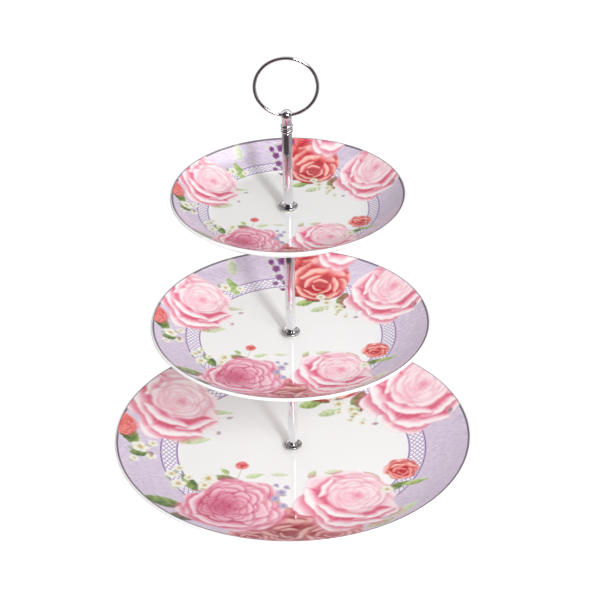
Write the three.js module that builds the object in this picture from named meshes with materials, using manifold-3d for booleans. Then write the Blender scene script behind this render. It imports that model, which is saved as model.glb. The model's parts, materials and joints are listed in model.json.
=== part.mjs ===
// A three-tier cake stand: porcelain coupe plates on a screwed spindle, with a ring handle.
// Millimetres, +Z up. The origin is on the spindle's axis, at the bottom plate's foot.
// The ring handle stands in the XZ plane, so the front of the stand faces -Y.
import * as THREE from "three";
import { mergeVertices } from "three/addons/utils/BufferGeometryUtils.js";
import Module from "manifold-3d";

// ---------- driving dimensions ----------

const TOUCH_GAP = 0.3; // left between pieces that touch
const PLATE_SEGMENTS = 56; // facets round a plate
const METAL_SEGMENTS = 20; // facets round a rod, washer or screw
const RISE_STEPS = 5; // steps up a plate's rim
const EDGE_STEPS = 2; // steps round each half of a plate's edge
const LIP_STEPS = 4; // steps round a cup washer's rolled lip
const BEAD_STEPS = 4;
const BALL_STEPS = 8;
const RING_SEGMENTS = 48;
const WIRE_SEGMENTS = 12;
const MERGE_DISTANCE = 1e-4; // points nearer than this are one

// The plates, from the bottom up. The depth is from the rim's top down to the flat well.
const BOTTOM_RADIUS = 130;
const BOTTOM_WELL_RADIUS = 75.4;
const BOTTOM_DEPTH = 13;
const MIDDLE_RADIUS = 99.2;
const MIDDLE_WELL_RADIUS = 57.5;
const MIDDLE_DEPTH = 12;
const TOP_RADIUS = 81.2;
const TOP_WELL_RADIUS = 47.1;
const TOP_DEPTH = 13.3;
const PLATE_WALL = 4;
const EDGE_WALL = 2.4; // the wall thins evenly up the rim, to this at its edge
const FOOT_INSET = 4; // from the well's edge in to the foot ring
const FOOT_WIDTH = 5;
const FOOT_EASE = 1; // off each edge of the foot ring
const UPPER_FOOT_HEIGHT = 3.5; // on the middle and top plates
const HOLE_CLEARANCE = 1; // round the thread, in a plate's centre hole

// The spindle.
const ROD_RADIUS = 3.5;
const ROD_CHAMFER = 0.4;
const LOWER_ROD_LENGTH = 88.7;
const UPPER_ROD_LENGTH = 92.9;
const HANDLE_ROD_LENGTH = 57.5;

// The thread that joins the rods: a 4 mm thread with a pitch of 0.7 mm.
const THREAD_RADIUS = 2;
const THREAD_EASE = 0.4; // off the end of a thread and the edge of a screw's head
const THREAD_CLEARANCE = 0.3; // round a thread, in what it screws into or passes through
const ENGAGEMENT = 7; // ten turns of thread
const STUD_HOLD = 8; // how deep a stud is fixed in the rod below it
const BORE_RUN_OUT = 1; // empty length at the end of each blind bore

// Washers, seals and the base screw.
const GASKET_RADIUS = 6.2;
const GASKET_THICKNESS = 1;
const WASHER_RADIUS = 6.8;
const WASHER_THICKNESS = 1;
const CUP_FLOOR = 0.8;
const CUP_CLEARANCE = 1.2; // round the rod's foot, on the cup's floor
const CUP_WALL_RUN = 1.9; // from the floor's edge out to the cup's widest
const CUP_HEIGHT = 1.9;
const CUP_LIP = 0.5; // half the thickness of the cup's rolled lip
const HEAD_RADIUS = 6;
const HEAD_THICKNESS = 1.5;
const RECESS_LENGTH = 6;
const RECESS_WIDTH = 1.1;
const RECESS_DEPTH = 0.8;
const HEAD_TO_TABLE = 0.6; // the base screw's head stays clear of the table

// The finial and the ring handle.
const BEAD_BULGE = 0.75; // how far a bead stands out from the rod
const BEAD_HALF_HEIGHT = 1.1;
const BEAD_PITCH = 3.4;
const NECK_LENGTH = 8.2; // from the upper bead's middle to the ball's centre
const BALL_RADIUS = 4;
const NECK_STEP = 0.65; // how much thinner the neck is than the ball
const SPIGOT_LENGTH = 6;
const RING_RADIUS = 21.2; // to the middle of the wire
const WIRE_RADIUS = 1.2;

// ---------- values worked out from them ----------

const BORE_RADIUS = THREAD_RADIUS + THREAD_CLEARANCE;
const HOLE_RADIUS = THREAD_RADIUS + HOLE_CLEARANCE;
const CUP_FLOOR_RADIUS = ROD_RADIUS + CUP_CLEARANCE;
const CUP_RADIUS = CUP_FLOOR_RADIUS + CUP_WALL_RUN;
const NECK_RADIUS = BALL_RADIUS - NECK_STEP;
const UNDER_STACK = TOUCH_GAP + GASKET_THICKNESS + TOUCH_GAP + WASHER_THICKNESS + TOUCH_GAP;
const UPPER_STACK = TOUCH_GAP + GASKET_THICKNESS + TOUCH_GAP + CUP_FLOOR + TOUCH_GAP;
const BOTTOM_FOOT_HEIGHT = UNDER_STACK + HEAD_THICKNESS + HEAD_TO_TABLE;

// The height of the flat upper face of each plate's well, and where each rod starts.
const bottomWell = BOTTOM_FOOT_HEIGHT + PLATE_WALL;
const lowerRodStart = bottomWell + UPPER_STACK;
const lowerRodEnd = lowerRodStart + LOWER_ROD_LENGTH;
const middleWell = lowerRodEnd + UNDER_STACK + PLATE_WALL;
const upperRodStart = middleWell + UPPER_STACK;
const upperRodEnd = upperRodStart + UPPER_ROD_LENGTH;
const topWell = upperRodEnd + UNDER_STACK + PLATE_WALL;
const handleRodStart = topWell + UPPER_STACK;
const handleRodEnd = handleRodStart + HANDLE_ROD_LENGTH;
const ballHeight = handleRodEnd + TOUCH_GAP + BEAD_HALF_HEIGHT + BEAD_PITCH + NECK_LENGTH;

// The wire bows away from the cross hole's axis inside the ball, so the hole clears the bow too.
const wireBow = RING_RADIUS - Math.sqrt(RING_RADIUS ** 2 - BALL_RADIUS ** 2);
const crossHoleRadius = WIRE_RADIUS + wireBow + TOUCH_GAP;

// ---------- materials ----------

const porcelain = new THREE.MeshStandardMaterial({ color: 0xf3f0f4, roughness: 0.12 });
const chrome = new THREE.MeshStandardMaterial({ color: 0xd8d8dc, roughness: 0.08, metalness: 1 });
const steel = new THREE.MeshStandardMaterial({ color: 0xb9bbc0, roughness: 0.3, metalness: 1 });
const seal = new THREE.MeshStandardMaterial({ color: 0xe6e6e2, roughness: 0.6 });

// ---------- helpers ----------

const wasm = await Module();
wasm.setup();

const group = new THREE.Group();

function addPiece(name, geometry, material) {
  const mesh = new THREE.Mesh(geometry, material);
  mesh.name = name;
  group.add(mesh);
}

const at = (radius, height) => new THREE.Vector2(radius, height);

// A solid of revolution about Z from a profile of (radius, height) points, listed so that the
// material lies on the left of the way along it.
function turned(profile, segments) {
  return new THREE.LatheGeometry(profile, segments).rotateX(Math.PI / 2);
}

// Points of an arc about a centre, between two angles in radians.
function arc(centre, radius, start, end, steps) {
  const points = [];
  for (let i = 0; i <= steps; i += 1) {
    const angle = start + ((end - start) * i) / steps;
    points.push(at(centre.x + radius * Math.cos(angle), centre.y + radius * Math.sin(angle)));
  }
  return points;
}

function toSolid(geometry) {
  const plain = geometry.clone();
  plain.deleteAttribute("normal");
  plain.deleteAttribute("uv");
  const merged = mergeVertices(plain, MERGE_DISTANCE);
  const mesh = new wasm.Mesh({
    numProp: 3,
    vertProperties: merged.attributes.position.array,
    triVerts: new Uint32Array(merged.index.array),
  });
  return new wasm.Manifold(mesh);
}

function toGeometry(solid) {
  const mesh = solid.getMesh();
  return new THREE.BufferGeometry()
    .setAttribute("position", new THREE.BufferAttribute(mesh.vertProperties, 3))
    .setIndex(new THREE.BufferAttribute(mesh.triVerts, 1));
}

// ---------- plates ----------

// A coupe plate: a flat well, a rim that rises as a parabola, a round edge and a foot ring.
function plate({ radius, wellRadius, depth, well, footHeight }) {
  const half = PLATE_WALL / 2;
  const edgeHalf = EDGE_WALL / 2;
  const rise = radius - edgeHalf - wellRadius;
  const climb = depth + half - edgeHalf; // of the middle of the wall

  // A point on the upper (side = 1) or lower (side = -1) face, a half wall from the middle line.
  function face(share, side) {
    const slope = Math.atan((2 * climb * share) / rise);
    const middle = at(wellRadius + rise * share, well - half + climb * share ** 2);
    const off = side * (half + (edgeHalf - half) * share);
    return at(middle.x - off * Math.sin(slope), middle.y + off * Math.cos(slope));
  }

  const upper = [];
  const lower = [];
  for (let i = 0; i < RISE_STEPS; i += 1) {
    upper.push(face(i / RISE_STEPS, 1));
    lower.push(face(i / RISE_STEPS, -1));
  }
  // The edge is half a circle, with points at its widest and at its highest.
  const rimSlope = Math.atan((2 * climb) / rise);
  const edgeCentre = at(radius - edgeHalf, well + depth - edgeHalf);
  const edge = [
    ...arc(edgeCentre, edgeHalf, rimSlope - Math.PI / 2, 0, EDGE_STEPS),
    ...arc(edgeCentre, edgeHalf, 0, Math.PI / 2, EDGE_STEPS).slice(1),
    face(1, 1),
  ];

  const under = well - PLATE_WALL;
  const footOuter = wellRadius - FOOT_INSET;
  const footInner = footOuter - FOOT_WIDTH;
  const foot = [
    at(footInner - FOOT_EASE, under),
    at(footInner, under - footHeight + FOOT_EASE),
    at(footInner + FOOT_EASE, under - footHeight),
    at(footOuter - FOOT_EASE, under - footHeight),
    at(footOuter, under - footHeight + FOOT_EASE),
    at(footOuter + FOOT_EASE / 2, under),
  ];
  const profile = [at(HOLE_RADIUS, under), ...foot, ...lower, ...edge, ...upper.reverse()];
  profile.push(at(HOLE_RADIUS, well), at(HOLE_RADIUS, under));
  return turned(profile, PLATE_SEGMENTS);
}

// ---------- washers, seals, rods, studs and the base screw ----------

// A flat ring that a thread passes through.
function flatRing(outer, bottom, thickness) {
  const top = bottom + thickness;
  const profile = [
    at(BORE_RADIUS, bottom),
    at(outer, bottom),
    at(outer, top),
    at(BORE_RADIUS, top),
    at(BORE_RADIUS, bottom),
  ];
  return turned(profile, METAL_SEGMENTS);
}

// A dished washer: a flat floor that the rod stands on, and a wall that rises to a rolled lip.
function cupWasher(bottom) {
  const lip = at(CUP_RADIUS - CUP_LIP, bottom + CUP_HEIGHT - CUP_LIP);
  const lean = Math.atan2(CUP_HEIGHT, CUP_RADIUS - CUP_FLOOR_RADIUS);
  const profile = [
    at(BORE_RADIUS, bottom),
    at(CUP_FLOOR_RADIUS, bottom),
    ...arc(lip, CUP_LIP, lean - Math.PI / 2, lean + Math.PI / 2, LIP_STEPS),
    at(CUP_FLOOR_RADIUS - CUP_LIP / 2, bottom + CUP_FLOOR),
    at(BORE_RADIUS, bottom + CUP_FLOOR),
    at(BORE_RADIUS, bottom),
  ];
  return turned(profile, METAL_SEGMENTS);
}

// A rod with a blind bore in each end.
function rod(start, end, lowerBore, upperBore) {
  const profile = [
    at(0, start + lowerBore),
    at(BORE_RADIUS, start + lowerBore),
    at(BORE_RADIUS, start),
    at(ROD_RADIUS - ROD_CHAMFER, start),
    at(ROD_RADIUS, start + ROD_CHAMFER),
    at(ROD_RADIUS, end - ROD_CHAMFER),
    at(ROD_RADIUS - ROD_CHAMFER, end),
    at(BORE_RADIUS, end),
    at(BORE_RADIUS, end - upperBore),
    at(0, end - upperBore),
  ];
  return turned(profile, METAL_SEGMENTS);
}

// A headless threaded stud, from inside the rod below a plate to inside the rod above it.
function stud(rodEnd, nextRodStart) {
  const bottom = rodEnd - STUD_HOLD;
  const top = nextRodStart + ENGAGEMENT;
  const profile = [
    at(0, bottom),
    at(THREAD_RADIUS - THREAD_EASE, bottom),
    at(THREAD_RADIUS, bottom + THREAD_EASE),
    at(THREAD_RADIUS, top - THREAD_EASE),
    at(THREAD_RADIUS - THREAD_EASE, top),
    at(0, top),
  ];
  return turned(profile, METAL_SEGMENTS);
}

// A flat-headed screw up through the bottom plate, with a cross recess in its head.
function baseScrew() {
  const headBottom = HEAD_TO_TABLE;
  const headTop = headBottom + HEAD_THICKNESS;
  const tip = lowerRodStart + ENGAGEMENT;
  const profile = [
    at(0, headBottom),
    at(HEAD_RADIUS - THREAD_EASE, headBottom),
    at(HEAD_RADIUS, headBottom + THREAD_EASE),
    at(HEAD_RADIUS, headTop),
    at(THREAD_RADIUS, headTop),
    at(THREAD_RADIUS, tip - THREAD_EASE),
    at(THREAD_RADIUS - THREAD_EASE, tip),
    at(0, tip),
  ];
  let screw = toSolid(turned(profile, METAL_SEGMENTS));
  const slots = [
    [RECESS_LENGTH, RECESS_WIDTH],
    [RECESS_WIDTH, RECESS_LENGTH],
  ];
  for (const [alongX, alongY] of slots) {
    const slot = new THREE.BoxGeometry(alongX, alongY, 2 * RECESS_DEPTH);
    screw = screw.subtract(toSolid(slot.translate(0, 0, headBottom)));
  }
  return toGeometry(screw);
}

// ---------- finial and ring handle ----------

// A turned piece: a spigot down into the handle rod, two beads, a neck and a ball with a cross hole.
function finial() {
  const base = handleRodEnd + TOUCH_GAP;
  const profile = [
    at(0, handleRodEnd - SPIGOT_LENGTH),
    at(THREAD_RADIUS, handleRodEnd - SPIGOT_LENGTH),
    at(THREAD_RADIUS, base),
  ];
  for (let bead = 0; bead < 2; bead += 1) {
    const middle = base + BEAD_HALF_HEIGHT + bead * BEAD_PITCH;
    for (let i = 0; i <= BEAD_STEPS; i += 1) {
      const angle = -Math.PI / 2 + (Math.PI * i) / BEAD_STEPS;
      const bulge = BEAD_BULGE * Math.cos(angle);
      profile.push(at(ROD_RADIUS + bulge, middle + BEAD_HALF_HEIGHT * Math.sin(angle)));
    }
  }
  const neckStart = base + 2 * BEAD_HALF_HEIGHT + BEAD_PITCH;
  const neckMeetsBall = Math.asin(NECK_RADIUS / BALL_RADIUS);
  profile.push(at(NECK_RADIUS, neckStart + ROD_CHAMFER));
  const ball = at(0, ballHeight);
  profile.push(...arc(ball, BALL_RADIUS, neckMeetsBall - Math.PI / 2, Math.PI / 2, BALL_STEPS));
  const crossHole = new THREE.CylinderGeometry(
    crossHoleRadius,
    crossHoleRadius,
    4 * BALL_RADIUS,
    METAL_SEGMENTS,
  );
  const tool = toSolid(crossHole.rotateZ(Math.PI / 2).translate(0, 0, ballHeight));
  return toGeometry(toSolid(turned(profile, METAL_SEGMENTS)).subtract(tool));
}

// A closed ring of round wire whose lowest point is at the ball's centre.
function ringHandle() {
  const ring = new THREE.TorusGeometry(RING_RADIUS, WIRE_RADIUS, WIRE_SEGMENTS, RING_SEGMENTS);
  return ring.rotateX(Math.PI / 2).translate(0, 0, ballHeight + RING_RADIUS);
}

// ---------- the assembly ----------

const tiers = {
  bottom: {
    radius: BOTTOM_RADIUS,
    wellRadius: BOTTOM_WELL_RADIUS,
    depth: BOTTOM_DEPTH,
    well: bottomWell,
    footHeight: BOTTOM_FOOT_HEIGHT,
  },
  middle: {
    radius: MIDDLE_RADIUS,
    wellRadius: MIDDLE_WELL_RADIUS,
    depth: MIDDLE_DEPTH,
    well: middleWell,
    footHeight: UPPER_FOOT_HEIGHT,
  },
  top: {
    radius: TOP_RADIUS,
    wellRadius: TOP_WELL_RADIUS,
    depth: TOP_DEPTH,
    well: topWell,
    footHeight: UPPER_FOOT_HEIGHT,
  },
};

for (const [name, tier] of Object.entries(tiers)) {
  addPiece(`${name}_plate`, plate(tier), porcelain);

  // Above the plate, from the glaze up: a soft washer, and the cup washer that the rod stands on.
  const topGasket = tier.well + TOUCH_GAP;
  const cup = topGasket + GASKET_THICKNESS + TOUCH_GAP;
  addPiece(`${name}_top_gasket`, flatRing(GASKET_RADIUS, topGasket, GASKET_THICKNESS), seal);
  addPiece(`${name}_cup_washer`, cupWasher(cup), chrome);

  // Below it, from the glaze down: a soft washer and a flat steel washer.
  const underGasket = tier.well - PLATE_WALL - TOUCH_GAP - GASKET_THICKNESS;
  const washer = underGasket - TOUCH_GAP - WASHER_THICKNESS;
  addPiece(`${name}_under_gasket`, flatRing(GASKET_RADIUS, underGasket, GASKET_THICKNESS), seal);
  addPiece(`${name}_under_washer`, flatRing(WASHER_RADIUS, washer, WASHER_THICKNESS), steel);
}

const threadBore = ENGAGEMENT + BORE_RUN_OUT;
const studBore = STUD_HOLD + BORE_RUN_OUT;
const spigotBore = SPIGOT_LENGTH + BORE_RUN_OUT;
addPiece("base_screw", baseScrew(), steel);
addPiece("lower_rod", rod(lowerRodStart, lowerRodEnd, threadBore, studBore), chrome);
addPiece("middle_stud", stud(lowerRodEnd, upperRodStart), steel);
addPiece("upper_rod", rod(upperRodStart, upperRodEnd, threadBore, studBore), chrome);
addPiece("top_stud", stud(upperRodEnd, handleRodStart), steel);
addPiece("handle_rod", rod(handleRodStart, handleRodEnd, threadBore, spigotBore), chrome);
addPiece("finial", finial(), chrome);
addPiece("ring_handle", ringHandle(), chrome);

export default group;
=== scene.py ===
# %% [markdown]
# # A three-tier cake stand
# The stand has three porcelain plates on a screwed metal spindle, with a ring handle on top. The engineering
# model fixes every size and every joint. This lesson loads it as a frame, then makes a finer piece for each
# of its parts, so that the looks can never drift away from the sizes.

# %% Load the frame
import json
import math
import random

import bmesh
import bpy
import numpy as np
from mathutils import Matrix, Vector


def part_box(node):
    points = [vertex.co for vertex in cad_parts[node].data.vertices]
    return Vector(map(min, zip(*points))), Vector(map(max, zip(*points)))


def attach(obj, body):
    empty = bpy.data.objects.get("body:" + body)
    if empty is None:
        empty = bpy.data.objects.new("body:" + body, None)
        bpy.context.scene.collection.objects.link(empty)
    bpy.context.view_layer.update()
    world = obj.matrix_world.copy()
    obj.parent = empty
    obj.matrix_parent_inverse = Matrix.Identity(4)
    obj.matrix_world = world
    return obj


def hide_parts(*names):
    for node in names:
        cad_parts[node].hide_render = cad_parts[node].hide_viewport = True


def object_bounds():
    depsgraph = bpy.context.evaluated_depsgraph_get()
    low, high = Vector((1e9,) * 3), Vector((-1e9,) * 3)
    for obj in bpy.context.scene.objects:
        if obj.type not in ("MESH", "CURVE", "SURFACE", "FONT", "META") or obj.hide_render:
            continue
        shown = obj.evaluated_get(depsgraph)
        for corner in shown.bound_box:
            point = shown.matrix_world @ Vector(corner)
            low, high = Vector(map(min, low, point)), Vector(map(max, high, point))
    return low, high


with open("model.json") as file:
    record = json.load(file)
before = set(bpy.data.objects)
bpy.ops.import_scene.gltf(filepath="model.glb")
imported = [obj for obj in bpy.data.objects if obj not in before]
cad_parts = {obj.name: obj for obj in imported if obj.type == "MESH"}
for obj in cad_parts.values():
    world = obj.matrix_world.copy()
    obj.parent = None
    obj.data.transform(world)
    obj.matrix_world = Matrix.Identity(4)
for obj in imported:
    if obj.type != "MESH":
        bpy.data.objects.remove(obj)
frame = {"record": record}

cad_low, cad_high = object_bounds()

# %% [markdown]
# ## Camera
# The stand is looked down on from about 32 degrees, through a long lens from a metre and three quarters
# away, so its plates show as ellipses that are nearly the same shape. The camera could be aimed with a
# constraint, but its three axes are written out instead, because it also leans one degree to the side.

# %% Camera
CAMERA_PLACE = Vector((0.0069, -1.4363, 1.0316))
CAMERA_LENS = 144
LOOK_DOWN = math.radians(31.94)
LEAN = math.radians(-1.0)

level_right = Vector((1, 0, 0))
level_up = Vector((0, math.sin(LOOK_DOWN), math.cos(LOOK_DOWN)))
forward = Vector((0, math.cos(LOOK_DOWN), -math.sin(LOOK_DOWN)))
camera_right = math.cos(LEAN) * level_right + math.sin(LEAN) * level_up
camera_up = math.cos(LEAN) * level_up - math.sin(LEAN) * level_right

bpy.ops.object.camera_add(location=CAMERA_PLACE)
camera = bpy.context.object
camera.name = "Camera"
camera.data.lens = CAMERA_LENS
camera.data.clip_end = 20
camera.rotation_mode = "QUATERNION"
turned_axes = Matrix((camera_right, camera_up, -forward)).transposed()
camera.rotation_quaternion = turned_axes.to_quaternion()
bpy.context.scene.camera = camera
print("camera:", tuple(round(v, 3) for v in camera.location), "lens", CAMERA_LENS)

# %% [markdown]
# ## Tools for modelling
# Nearly every part of a cake stand is round, so the main tool does what a potter's or a turner's template
# does: it draws half of the section as an outline, then turns it round the spindle. An outline is drawn by
# extruding one point again and again. The other tools select by place, cut one solid with another, and hand
# a finished piece over to the frame.

# %% Tools for modelling
MM = 0.001
SAME_POINT = 1e-6
SMOOTH_ANGLE = math.radians(32)


def deselect():
    bpy.ops.object.select_all(action="DESELECT")


def enter_edit():
    bpy.ops.object.mode_set(mode="EDIT")


def leave_edit():
    bpy.ops.object.mode_set(mode="OBJECT")


def name_it(name):
    """Names the object that an operator has just added."""
    piece = bpy.context.object
    piece.name = name
    piece.data.name = name
    return piece


def select_where(piece, kind, test):
    """In edit mode, selects only the vertices, edges or faces whose middle passes the test."""
    mesh = bmesh.from_edit_mesh(piece.data)
    for group in (mesh.verts, mesh.edges, mesh.faces):
        for item in group:
            item.select = False
    for item in getattr(mesh, kind):
        middle = item.co if kind == "verts" else sum((v.co for v in item.verts), Vector()) / len(item.verts)
        if test(middle):
            item.select_set(True)
    mesh.select_flush_mode()
    bmesh.update_edit_mesh(piece.data)


def draw_outline(name, points):
    """Draws (radius, height) points, in millimetres, as a line in the XZ plane. Leaves edit mode on."""
    deselect()
    bpy.ops.mesh.primitive_plane_add(size=MM)
    piece = name_it(name)
    enter_edit()
    bpy.ops.mesh.merge(type="CENTER")
    bpy.ops.transform.translate(value=(points[0][0] * MM, 0, points[0][1] * MM))
    for (r0, z0), (r1, z1) in zip(points, points[1:]):
        move = ((r1 - r0) * MM, 0, (z1 - z0) * MM)
        bpy.ops.mesh.extrude_region_move(TRANSFORM_OT_translate={"value": move})
    return piece


def clean_shell():
    """In edit mode, merges doubles first and only then points all the faces outwards."""
    bpy.ops.mesh.select_all(action="SELECT")
    bpy.ops.mesh.remove_doubles(threshold=SAME_POINT)
    bpy.ops.mesh.normals_make_consistent(inside=False)


def turn(name, points, steps):
    """Turns an outline once round the spindle."""
    piece = draw_outline(name, points)
    bpy.ops.mesh.select_all(action="SELECT")
    bpy.ops.mesh.spin(steps=steps, angle=2 * math.pi, center=(0, 0, 0), axis=(0, 0, 1))
    clean_shell()
    leave_edit()
    bpy.ops.object.shade_smooth_by_angle(angle=SMOOTH_ANGLE)
    return piece


def arc(centre, radius, start, end, steps):
    """Points of an arc in an outline, between two angles in degrees."""
    angles = [math.radians(start + (end - start) * i / steps) for i in range(steps + 1)]
    return [(centre[0] + radius * math.cos(a), centre[1] + radius * math.sin(a)) for a in angles]


def cut(piece, tool, operation="DIFFERENCE"):
    """Cuts, joins or trims a piece with a tool, which is used up."""
    modifier = piece.modifiers.new("cut", "BOOLEAN")
    modifier.operation = operation
    modifier.solver = "EXACT"
    modifier.object = tool
    bpy.context.view_layer.objects.active = piece
    bpy.ops.object.modifier_apply(modifier=modifier.name)
    bpy.data.objects.remove(tool)


def settle(piece):
    """Moves the piece's place, turn and scale into its mesh, and leaves its object at the origin."""
    deselect()
    piece.select_set(True)
    bpy.context.view_layer.objects.active = piece
    bpy.ops.object.transform_apply(location=True, rotation=True, scale=True)


BODY_OF = {part: body for body, parts in frame["record"]["behaviour"]["bodies"].items() for part in parts}


def hand_over(piece, node, material):
    """The finished piece stands for a part of the frame, rides on its body and takes its finish."""
    settle(piece)
    piece.data.materials.append(material)
    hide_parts(node)
    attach(piece, BODY_OF[node])
    triangles = sum(len(p.vertices) - 2 for p in piece.data.polygons)
    print(f"{piece.name}: {triangles} triangles, on {BODY_OF[node]}")


print("tools ready for", len(BODY_OF), "parts")

# %% [markdown]
# ## Tools for materials
# A material is a graph of nodes. These helpers add a node with its settings, join sockets, and start a
# group with named inputs and outputs, so that each finish below reads as a list of what it mixes.

# %% Tools for materials
def rgb(red, green, blue):
    """A colour given as it looks on a screen, from 0 to 1, turned into the linear values that light uses."""
    return tuple(c / 12.92 if c <= 0.04045 else ((c + 0.055) / 1.055) ** 2.4 for c in (red, green, blue)) + (1,)


def put(socket, value):
    """Joins a socket to another node's output, or sets its number or colour."""
    if isinstance(value, bpy.types.NodeSocket):
        socket.id_data.links.new(value, socket)
    else:
        socket.default_value = value


def node(tree, kind, inputs=(), **settings):
    """Adds a node. inputs are (socket name or number, value or output) pairs."""
    made = tree.nodes.new(kind)
    for key, value in settings.items():
        setattr(made, key, value)
    for key, value in inputs:
        put(made.inputs[key], value)
    return made


def maths(tree, operation, *values):
    return node(tree, "ShaderNodeMath", list(enumerate(values)), operation=operation).outputs[0]


def blend(tree, share, first, second):
    """Mixes two colours."""
    made = node(tree, "ShaderNodeMix", data_type="RGBA")
    put(made.inputs["Factor"], share)
    put(made.inputs[6], first)
    put(made.inputs[7], second)
    return made.outputs[2]


def between(tree, value, low, high):
    """Rises smoothly from 0 at low to 1 at high, or falls if high is the smaller."""
    made = node(tree, "ShaderNodeMapRange", [("Value", value)], interpolation_type="SMOOTHSTEP")
    put(made.inputs["From Min"], low)
    put(made.inputs["From Max"], high)
    return made.outputs["Result"]


def noise(tree, place, scale, detail=2.0):
    return node(tree, "ShaderNodeTexNoise", [("Vector", place), ("Scale", scale), ("Detail", detail)]).outputs["Fac"]


def raise_surface(tree, shader, height, strength, distance):
    """Bumps the surface by a height, up to a distance in metres."""
    bump = node(tree, "ShaderNodeBump", [("Height", height), ("Strength", strength), ("Distance", distance)])
    put(shader["Normal"], bump.outputs["Normal"])


def start_group(name, inputs, outputs):
    """A shader node group. inputs and outputs are (name, socket type, default) triples."""
    tree = bpy.data.node_groups.new(name, "ShaderNodeTree")
    for direction, sockets in (("INPUT", inputs), ("OUTPUT", outputs)):
        for label, kind, default in sockets:
            socket = tree.interface.new_socket(name=label, in_out=direction, socket_type="NodeSocket" + kind)
            if default is not None:
                socket.default_value = default
    return tree, node(tree, "NodeGroupInput").outputs, node(tree, "NodeGroupOutput").inputs


def place_group(tree, group, **values):
    made = node(tree, "ShaderNodeGroup", node_tree=group)
    for key, value in values.items():
        put(made.inputs[key.replace("_", " ")], value)
    return made.outputs


def start_material(name):
    material = bpy.data.materials.new(name)
    material.use_nodes = True
    tree = material.node_tree
    return material, tree, tree.nodes["Principled BSDF"].inputs


def surface_place(tree):
    return node(tree, "ShaderNodeTexCoord").outputs["Object"]


print("material tools ready")

# %% [markdown]
# ## Fine wear
# Bright metal is never quite even. It has hairlines from polishing, a slight cloudiness from handling, and
# a few specks. Separate noises could be put into each metal by hand, but one group does it for all of them:
# its Stretch input squeezes the hairlines along a rod or round a washer.

# %% Fine wear group
fine_wear, given, wanted = start_group(
    "Fine wear",
    [("Place", "Vector", None), ("Stretch", "Vector", (900, 900, 60)), ("Cloudiness", "Float", 60.0)],
    [("Hairlines", "Float", None), ("Cloud", "Float", None), ("Specks", "Float", None)],
)
stretched = node(fine_wear, "ShaderNodeVectorMath", [(0, given["Place"]), (1, given["Stretch"])], operation="MULTIPLY")
put(wanted["Hairlines"], between(fine_wear, noise(fine_wear, stretched.outputs[0], 1.0, 3.0), 0.35, 0.75))
put(wanted["Cloud"], between(fine_wear, noise(fine_wear, given["Place"], given["Cloudiness"]), 0.35, 0.7))
speck = node(fine_wear, "ShaderNodeTexVoronoi", [("Vector", given["Place"]), ("Scale", 420.0)])
put(wanted["Specks"], between(fine_wear, speck.outputs["Distance"], 0.16, 0.05))
print("group:", fine_wear.name, "with", len(fine_wear.nodes), "nodes")

# %% [markdown]
# ## Chrome and zinc-plated steel
# The spindle, the finial and the ring are chromed: almost a mirror, a little warm in its darker reflections.
# The cup washers are pressed, and their chrome is painted darker: painted shade for the dark surroundings that
# the dished washers mirror. The studs, flat washers and base screw are only zinc plated, so they are greyer and
# duller. All are the same recipe with other numbers, so one function makes them.

# %% Metals
def make_metal(name, light, dark, smooth, rough, stretch, dents):
    material, tree, shader = start_material(name)
    wear = place_group(tree, fine_wear, Place=surface_place(tree), Stretch=stretch)
    put(shader["Base Color"], blend(tree, wear["Cloud"], light, dark))
    spread = maths(tree, "MULTIPLY", wear["Hairlines"], rough - smooth)
    clouded = maths(tree, "MULTIPLY_ADD", wear["Cloud"], (rough - smooth) / 2, spread)
    speckled = maths(tree, "MULTIPLY_ADD", wear["Specks"], 0.12, clouded)
    put(shader["Roughness"], maths(tree, "ADD", speckled, smooth))
    raise_surface(tree, shader, wear["Hairlines"], dents, 0.00002)
    shader["Metallic"].default_value = 1.0
    return material


ALONG = (2600, 2600, 90)
ROUND = (500, 500, 4200)
rod_chrome = make_metal("Drawn chrome", rgb(0.93, 0.93, 0.94), rgb(0.88, 0.87, 0.88), 0.05, 0.11, ALONG, 0.10)
turned_chrome = make_metal("Turned chrome", rgb(0.92, 0.92, 0.93), rgb(0.85, 0.84, 0.85), 0.04, 0.10, ROUND, 0.12)
# Painted shade: the cup washers' chrome is darker than the rest, for the dark surroundings that they mirror.
shaded_cup_chrome = make_metal("Pressed chrome with painted shade", rgb(0.74, 0.73, 0.73), rgb(0.64, 0.62, 0.61), 0.06, 0.14, ROUND, 0.2)
zinc = make_metal("Zinc plate", rgb(0.78, 0.79, 0.81), rgb(0.66, 0.67, 0.70), 0.22, 0.42, ROUND, 0.5)
print("metals:", rod_chrome.name, turned_chrome.name, shaded_cup_chrome.name, zinc.name)

# %% [markdown]
# ## Seal
# The soft washers between metal and glaze are milky silicone, which picks up dust. A plain pale colour would
# look like paper, so it is mottled a little, dusted with the specks of the wear group, and lets some light in.

# %% Seal
def make_seal():
    material, tree, shader = start_material("Milky silicone")
    wear = place_group(tree, fine_wear, Place=surface_place(tree), Stretch=(700, 700, 700), Cloudiness=260.0)
    milky = blend(tree, wear["Cloud"], rgb(0.90, 0.90, 0.88), rgb(0.80, 0.80, 0.77))
    put(shader["Base Color"], blend(tree, wear["Specks"], milky, rgb(0.62, 0.60, 0.57)))
    put(shader["Roughness"], maths(tree, "MULTIPLY_ADD", wear["Hairlines"], 0.2, 0.42))
    raise_surface(tree, shader, wear["Cloud"], 0.3, 0.00005)
    shader["Subsurface Weight"].default_value = 0.2
    shader["Subsurface Scale"].default_value = 0.001
    return material


seal = make_seal()
print("seal:", seal.name)

# %% [markdown]
# ## Border print
# The printed border is the same on each plate: a lavender rim with the grain of linen, an open lattice with a
# purple line on each side, and a grey line round the edge. It could be painted like the flowers, but its
# lines are thin and regular, so they are worked out from the distance and the angle round the spindle, and
# stay sharp at any size.

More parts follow.
